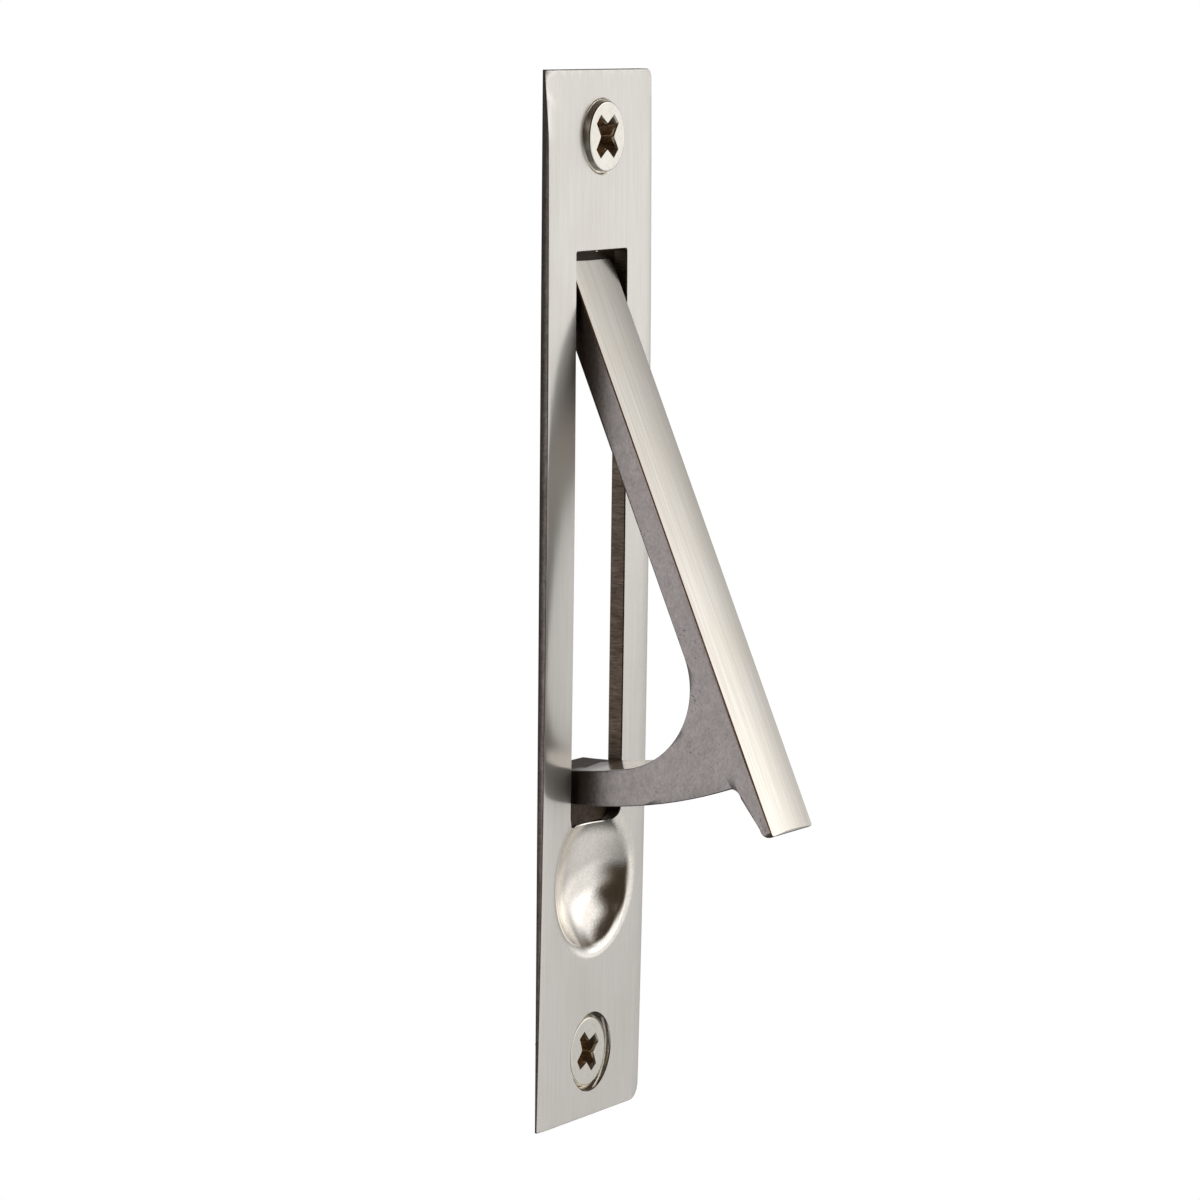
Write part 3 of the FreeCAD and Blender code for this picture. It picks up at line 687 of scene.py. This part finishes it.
def gridPoints(p, radii, grid):
    # rings round the dish and an even grid elsewhere, all clear of the slot, the seats and the outer edge
    rings = [circleLoop(r, p["dishHeight"]) for r in radii] + [np.array([[0, p["dishHeight"]]])]
    x, z = np.meshgrid(np.arange(-9, 9.01, grid["step"]), np.arange(-48, 48.01, grid["step"]))
    even = np.stack([x.ravel(), z.ravel()], -1)
    even = even[np.hypot(even[:, 0], even[:, 1] - p["dishHeight"]) > radii[-1] + 0.5 * grid["step"]]
    clear = np.hypot(even[:, 0], np.abs(even[:, 1]) - p["seatHeight"]) > grid["seatRoom"]
    clear &= np.abs(even[:, 0]) < p["halfWidth"] - grid["edgeRoom"]
    points = np.concatenate(rings + [even[clear]])
    x, z = points.T
    room = 0.1
    clear = (np.abs(x) > p["slotHalfWidth"] + room) | (z < p["slotLow"] - room) | (z > p["slotTop"] + room)
    return points[clear]


def plateRim(p, outline):
    # round the outside: the front's quarter round, the side, and the long edges' bevels, which grow towards
    # the low end; the back's outline comes with it
    half, tall, size = p["halfWidth"], p["halfHeight"], p["frontRound"]
    rows = []
    for a in np.linspace(0, np.pi / 2, 6):
        loop = movedIn(outline, size * (1 - math.sin(a)))
        rows.append(lifted(loop, frontDepth(*loop.T, p)[0] + size * (1 - math.cos(a))))
    slope = math.tan(math.radians(p["bevelAngle"]))
    bevel = p["bevelLow"] + (p["bevelTop"] - p["bevelLow"]) * (outline[:, 1] + tall) / (2 * tall)
    sideEnd = np.minimum(0, (half - np.abs(outline[:, 0])) * slope - bevel)
    back = outline.copy()
    back[:, 0] = np.clip(outline[:, 0], bevel / slope - half, half - bevel / slope)
    rows += [lifted(outline, sideEnd), lifted(back, 0.0)]
    # the brushing reaches over the first three strips of the quarter round
    choice = np.where(np.arange(len(rows) - 1) < 3, onFront, onEdge)
    return (*joinedRows(rows), np.repeat(choice, len(outline))), back


def plateSlotWall(p, slot):
    # from the broken edge on the front straight to the back; the low end's broken edge is buffed as the dish
    broken = p["edgeBreak"]
    rows = []
    for k in (1.0, 0.3, 0.0):
        loop = movedIn(slot, -broken * k)
        rows.append(lifted(loop, frontDepth(*loop.T, p)[0] + broken * (1 - k)))
    depth = rows[-1][:, 1]
    behind = backDepth(*slot.T, p)[0]
    rows += [lifted(slot, depth + (behind - depth) * share) for share in (0.5, 1.0)]
    points, faces = joinedRows(rows)
    low = points[faces].mean(1)[:, 2] < p["slotLow"] + broken
    return points, faces, np.where(low & (np.arange(len(faces)) < 2 * len(slot)), onDish, onSlotWall)


def plateFront(p, outline, slot):
    # everything between the rim, the slot and the two seats, with the dish
    _, inner, rim = frontDepth(0.0, 0.0, p)
    radii = np.concatenate([np.linspace(0.25, inner - 0.1, 26), np.linspace(inner, rim, 8), [rim + 0.3]])
    mouths = [circleLoop(seat["mouth"] + p["edgeBreak"], seat["side"] * p["seatHeight"])
              for seat in p["seats"]]
    borders = [movedIn(outline, away) for away in (*p["borders"], p["rollWidth"])]
    borders = [loop[np.abs(loop[:, 1]) < p["halfHeight"] - p["borderEnd"]] for loop in borders]
    points, triangles = pierced([movedIn(outline, p["frontRound"]), movedIn(slot, -p["edgeBreak"])] + mouths,
                                np.concatenate([gridPoints(p, radii, p["frontGrid"])] + borders))
    middle = points[triangles].mean(1)
    inDish = np.hypot(middle[:, 0], middle[:, 1] - p["dishHeight"]) < rim
    return lifted(points, frontDepth(*points.T, p)[0]), triangles, np.where(inDish, onDish, onFront)


def plateBack(p, back, slot):
    # everything between the bevels, the slot and the two collars, with the dish's bulge
    _, inner, foot = backDepth(0.0, 0.0, p)
    radii = np.concatenate([np.linspace(0.4, inner - 0.1, 16), np.linspace(inner, foot, 6), [foot + 0.3]])
    collars = [circleLoop(p["collarBase"], seat["side"] * p["seatHeight"]) for seat in p["seats"]]
    points, triangles = pierced([back, slot] + collars, gridPoints(p, radii, p["backGrid"]))
    return lifted(points, backDepth(*points.T, p)[0]), triangles[:, ::-1], onBack


def plateSeat(p, seat):
    # a seat's profile turned about its screw: mouth, ring, cone, bore, and the collar behind
    height = seat["side"] * p["seatHeight"]
    broken = p["edgeBreak"]
    front = frontDepth(*circleLoop(seat["mouth"] + broken, height).T, p)[0]
    rows = [lifted(circleLoop(seat["mouth"] + broken * k, height), front + broken * (1 - k))
            for k in (1.0, 0.3, 0.0)]
    ringDepth = float(frontDepth(0.0, height, p)[0]) + seat["ringDepth"]
    coneEnd = ringDepth + (seat["ring"] - p["bore"]) / p["seatSlope"]
    top = p["collarHeight"]
    profile = [(seat["ring"], ringDepth)]
    if coneEnd < top:
        profile += [(p["bore"], coneEnd), (p["bore"], top)]
    else:
        profile += [(seat["ring"] - (top - ringDepth) * p["seatSlope"], top)]
    inside = len(rows) + len(profile) - 1
    r = p["collarRound"]
    profile += [(p["collarEnd"] - r + r * math.sin(a), top - r + r * math.cos(a))
                for a in np.linspace(0, np.pi / 2, 5)]
    profile += [(p["collarBase"], 0.0)]
    rows += [lifted(circleLoop(radius, height), depth) for radius, depth in profile]
    choice = np.where(np.arange(len(rows) - 1) < inside, onDish, onBack)
    return (*joinedRows(rows), np.repeat(choice, len(rows[0])))


def plateEar(p, side):
    # one ear beside the slot, a closed shell; its outline in (y, z) is round below the pin, straight above
    outer, pinAt = p["earOuter"], (p["pinBehind"], p["pinHeight"])
    lean = math.asin(outer / math.hypot(p["earBelowPin"], p["pinBehind"]))
    lean += math.atan2(p["pinBehind"], p["earBelowPin"])
    a = np.linspace(lean - math.pi / 2, 0, 14)
    turned = np.stack([pinAt[0] + outer * np.cos(a), pinAt[1] + outer * np.sin(a)], -1)
    crest = [[pinAt[0] + outer, p["earTop"] - p["earTopSlope"]], [0, p["earTop"]]]
    outline = np.concatenate([[[0, p["pinHeight"] - p["earBelowPin"]]], turned, crest])
    b = np.linspace(0, 2 * np.pi, 40, endpoint=False)
    hole = np.stack([pinAt[0] + p["pinHole"] * np.cos(b), pinAt[1] + p["pinHole"] * np.sin(b)], -1)
    near = side * p["slotHalfWidth"]
    far = near + side * p["earThick"]
    flat, triangles = pierced([outline, hole], np.zeros((0, 2)))
    parts = [(np.insert(flat, 0, near, axis=1), triangles, onEarInside),
             (np.insert(flat, 0, far, axis=1), triangles, onBack)]
    for loop in (outline, hole):
        parts.append((*joinedRows([np.insert(loop, 0, x, axis=1) for x in (near, far)]), onBack))
    return parts


def facePlate(sizes):
    high = np.array(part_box("face_plate")[1]) / mm
    p = {**sizes, "halfWidth": high[0], "halfHeight": high[2]}
    outline = roundedLoop(high[0], -high[2], high[2], p["corners"], p["outlineSides"])
    slot = roundedLoop(p["slotHalfWidth"], p["slotLow"], p["slotTop"], p["slotCorners"], p["slotSides"])
    rim, back = plateRim(p, outline)
    parts = [rim, plateSlotWall(p, slot), plateFront(p, outline, slot), plateBack(p, back, slot)]
    parts += [plateSeat(p, seat) for seat in p["seats"]]
    parts += plateEar(p, 1) + plateEar(p, -1)
    piece = pieceOf("facePlate", parts, plateMaterials, p["sharpAngle"])
    settle(piece, "face_plate", "plate")


facePlate(plate)

print("stage: pull lever")
pull = {
    "pinBehind": plate["pinBehind"],
    "pinHeight": plate["pinHeight"],
    "pinDepth": 2.48,       # from the front's middle line to the pin
    "crown": 50.0,          # radius of the front across its width
    "crownNear": 0.012,     # points this near to the arc are put on it
    "stripsEnd": 3.6,       # cuts along the bar: out to here, and this far apart
    "stripWidth": 0.3,
    "cuts": (-2.0, 66.0, 4.0),      # cuts across the bar: first and last from the pin, and how far apart
    "sharpAngle": 25,
    # which faces are what: how squarely they look out of the front or the side, and how deep they lie
    "frontSquare": 0.9,
    "frontDepth": 0.5,
    "sideSquare": 0.6,
    "cornerSquare": (0.15, 0.95),
    "cornerDepth": 0.3,
    # the faces behind this get dark painted shade for the slot's shade
    "hidden": -1.0,         # what lies further back than this stays dull
    # the hub's rounded top corners are fuller than in the solid, and so is the bevel behind them, so that no
    # light shows past them
    "sideAt": 3.945,
    "cornerFrom": 1.94,
    "cornerFoot": 29.6,
    "cornerBehind": 0.15,
    "cornerKept": 0.22,     # of the rounding
    "bevelAt": 1.85,
    "bevelNear": 0.002,
    "bevelFoot": 31.19,
    "bevelFill": 0.45,
    "bevelRise": 0.4,
}
pullMaterials = [satinBrushedPull, tumbledSide, polishedCurve, hiddenCastingShade, warmEdgeHighlight]
onBar, onSide, onCurve, outOfSight, onCorner = range(5)


def behindFront(points, p):
    # how far points lie behind the plane that touches the front's middle line
    return p["pinDepth"] - (points - p["pinAt"]) @ p["forward"]


def crownFront(mesh, p):
    # cuts the mesh into fine strips along the bar and now and then across it, and puts the front's points on
    # its arc: depth = radius - sqrt(radius^2 - x^2)
    with editing(mesh) as work:
        for x in np.arange(-p["stripsEnd"], p["stripsEnd"] + 0.01, p["stripWidth"]):
            cutAcross(work, (x, 0, 0), (1, 0, 0))
        first, last, step = p["cuts"]
        for reach in np.arange(first, last + 0.1, step):
            cutAcross(work, p["pinAt"] + reach * p["along"], p["along"].tolist())
        bmesh.ops.triangulate(work, faces=work.faces)
    points = np.zeros(len(mesh.vertices) * 3)
    mesh.vertices.foreach_get("co", points)
    points = points.reshape(-1, 3) / mm
    past = behindFront(points, p) - (p["crown"] - np.sqrt(p["crown"] ** 2 - points[:, 0] ** 2))
    points += np.where(np.abs(past) < p["crownNear"], past, 0)[:, None] * p["forward"]
    mesh.vertices.foreach_set("co", (points * mm).ravel())
    mesh.update()


def fillCorners(mesh, p):
    # hub corners: x = side - kept x (side - x); bevel: cut once, z = z + fill x min(1, (z - foot) / rise)
    with editing(mesh) as work:
        cutAcross(work, (0, p["bevelAt"], 0), (0, 1, 0))
        for point in work.verts:
            x, y, z = point.co / mm
            if abs(y - p["bevelAt"]) < p["bevelNear"] and z > p["bevelFoot"]:
                point.co.z += p["bevelFill"] * min(1, (z - p["bevelFoot"]) / p["bevelRise"]) * mm
            if p["cornerFrom"] < abs(x) < p["sideAt"] and z > p["cornerFoot"] and y > p["cornerBehind"]:
                full = p["sideAt"] - p["cornerKept"] * (p["sideAt"] - abs(x))
                point.co.x = math.copysign(full, x) * mm


def keepFrontFlat(mesh):
    # the brushed front's shading stops at its long edges, where the small edge breaks begin
    with editing(mesh) as work:
        for edge in work.edges:
            if len({face.material_index == onBar for face in edge.link_faces}) > 1:
                edge.smooth = False


def pullLever(sizes):
    turn = math.radians(openAngle)
    p = {**sizes, "pinAt": np.array([0, sizes["pinBehind"], sizes["pinHeight"]]),
         "forward": np.array([0, -math.cos(turn), math.sin(turn)]),
         "along": np.array([0, -math.sin(turn), -math.cos(turn)])}
    piece = mergedCopy("pull_lever", "pullLever", p["sharpAngle"])
    mesh = piece.data
    fillCorners(mesh, p)
    crownFront(mesh, p)
    shadeSmooth(mesh, p["sharpAngle"])
    centre, normal = faceFacts(mesh)
    depth, square = behindFront(centre, p), normal @ p["forward"]
    front = (square > p["frontSquare"]) & (depth < p["frontDepth"])
    side = np.abs(normal[:, 0]) > p["sideSquare"]
    hidden = (centre[:, 1] > p["hidden"]) & ~side
    least, most = p["cornerSquare"]
    thin = (depth < p["cornerDepth"]) & (square > least) & (square < most) & side
    choice = np.select([front, thin, side, hidden], [onBar, onCorner, onSide, outOfSight], onCurve)
    dress(mesh, pullMaterials, choice)
    keepFrontFlat(mesh)
    settle(piece, "pull_lever", "lever")


pullLever(pull)

print("stage: pivot pin")
pin = {"sharpAngle": 30}
pivotPin = mergedCopy("pivot_pin", "pivotPin", pin["sharpAngle"])
dress(pivotPin.data, [drawnPin], np.zeros(len(pivotPin.data.polygons)))
settle(pivotPin, "pivot_pin", "plate")

print("stage: screws")
screw = {
    "faceRadius": 3.27,
    "headRadius": 3.44,
    "land": 0.65,           # how deep the head is before its cone
    "rimRound": 0.16,
    "coneHeight": 1.944,
    "coneEase": 0.05,
    "shankRadius": 1.75,
    "threadDepth": 0.42,
    "threadPitch": 1.06,
    "threadStart": 0.12,    # below the cone
    "threadFull": 0.5,      # below the cone, where the thread has its full depth
    "threadRows": 72,
    "threadFlank": 2.6,     # how steep the ridges are
    "threadCrest": 0.15,    # how much of a ridge stays at the shank's radius
    "length": 5.8,
    "point": 1.7,
    "pointBlunt": 0.08,
    "pointCurve": 0.75,     # the core narrows by this power of the way to the point
    "pointCrest": 1.15,     # and the crests a little later
    "recessEnd": 2.25,      # of the cross recess: out to an arm's flat end
    "recessHalfArm": 0.575,
    "recessNotch": 1.1,
    "recessEase": 0.06,     # radians
    "recessDepth": 1.8,
    "recessFloor": 0.58,    # its floor is this share of its mouth
    "recessDip": 0.06,      # its middle lies deeper by this share
    "recessLips": ((0.96, 0.12), (0.985, 0.09)),    # shares of the mouth and their depths, where it is eased
    "recessFrom": 0.1,      # what lies deeper than this in the recess is its wall
    "turns": 288,           # points round the screw
    "sharpAngle": 38,
}
# the low screw's recess is a little smaller
lowScrew = {**screw, "recessEnd": 1.98, "recessHalfArm": 0.52, "recessNotch": 0.97}


def crossRadius(angle, s):
    # the recess's outline from its axis: the nearer of an arm's end, end / cos a, and the flank's line
    # between the arm's corner and the notch; near 45 degrees a is eased, and the notch with it
    a = np.abs((angle + np.pi / 4) % (np.pi / 2) - np.pi / 4)
    a = np.pi / 4 - np.sqrt((np.pi / 4 - a) ** 2 + s["recessEase"] ** 2)
    notch = s["recessNotch"] * math.sqrt(0.5)
    line = np.array([notch - s["recessHalfArm"], s["recessEnd"] - notch])
    reach = line @ [notch, notch]
    flank = reach / (line[0] * np.cos(a) + line[1] * np.sin(np.maximum(a, 0)))
    return np.minimum(s["recessEnd"] / np.cos(a), flank)


def recessRows(mouth, face, s):
    # (radius, depth) rows from the floor's middle, which dips, up the sloping wall and over its eased lips
    floor, deep, dip = s["recessFloor"], s["recessDepth"], s["recessDip"]
    (lip, lipDepth), last = s["recessLips"]
    rows = [(0, face + deep * (1 + dip))]
    rows += [(mouth * floor * k, face + deep * (1 + dip - dip * k)) for k in (0.5, 0.97)]
    for k in np.linspace(0, 1, 9)[1:]:
        rows.append((mouth * (floor + (lip - floor) * k), face + (deep * (1 - k) + lipDepth * k)))
    return rows + [(mouth * last[0], face + last[1])]


def threadRows(t, neck, end, s):
    # r = crest - (crest - core) x ridge(y / pitch - t / 2 pi), and both narrow towards the point
    rows = []
    for y in np.linspace(neck + s["threadStart"], end - s["pointBlunt"], s["threadRows"]):
        wave = (y / s["threadPitch"] - t / (2 * np.pi)) % 1
        ridge = np.clip(np.abs(wave - 0.5) * s["threadFlank"] - s["threadCrest"], 0, 1)
        fade = np.clip((y - neck) / s["threadFull"], 0, 1)
        left = np.clip((end - y) / s["point"], 0, 1)
        core = (s["shankRadius"] - s["threadDepth"]) * left ** s["pointCurve"]
        crest = np.maximum(s["shankRadius"] * np.clip(left * s["pointCrest"], 0, 1), core)
        rows.append((crest - (crest - core) * ridge * fade, y))
    return rows


def screwPiece(nodeName, pieceName, s, height, turn):
    # one surface of turn t and of way u along the profile, (r cos t, y, r sin t) with r(t, u) and y(t, u):
    # the recess inside, then the face, the rim's quarter round, the land, the cone, the thread and the point
    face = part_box(nodeName)[0][1] / mm
    neck, end = face + s["land"] + s["coneHeight"], face + s["length"]
    t = np.linspace(0, 2 * np.pi, s["turns"], endpoint=False)
    mouth = crossRadius(t - math.radians(turn), s)
    rim = s["faceRadius"] - s["rimRound"]
    rows = recessRows(mouth, face, s)
    rows += [(mouth + (rim - mouth) * k, face) for k in np.linspace(0.05, 1, 8)]
    rows += [(rim + s["rimRound"] * np.sin(a), face + s["rimRound"] * (1 - np.cos(a)))
             for a in np.linspace(0, np.pi / 2, 7)[1:]]
    rows += [(s["headRadius"], face + s["land"]),
             (s["headRadius"] - s["coneEase"], face + (s["land"] + s["coneEase"])),
             (s["shankRadius"], neck)]
    rows += threadRows(t, neck, end, s) + [(0, end)]
    rings = [np.stack([r * np.cos(t), y + 0 * t, r * np.sin(t) + height], -1) for r, y in rows]
    points, faces = joinedRows(rings)
    mesh = meshOf(pieceName, points * mm, turnedRound(faces))
    closeUp(mesh, mergeWithin)
    shadeSmooth(mesh, s["sharpAngle"])
    centre = faceFacts(mesh)[0]
    radius = np.hypot(centre[:, 0], centre[:, 2] - height)
    inRecess = (radius < s["recessEnd"]) & (centre[:, 1] < neck) & (centre[:, 1] > face + s["recessFrom"])
    dress(mesh, [brightScrew, recessWallShade], inRecess)
    settle(addObject(pieceName, mesh), nodeName, "plate")


screwPiece("screw_top", "screwTop", screw, plate["seatHeight"], 45.0)
screwPiece("screw_bottom", "screwBottom", lowScrew, -plate["seatHeight"], 33.0)

bpy.context.scene.view_settings.view_transform = "Standard"
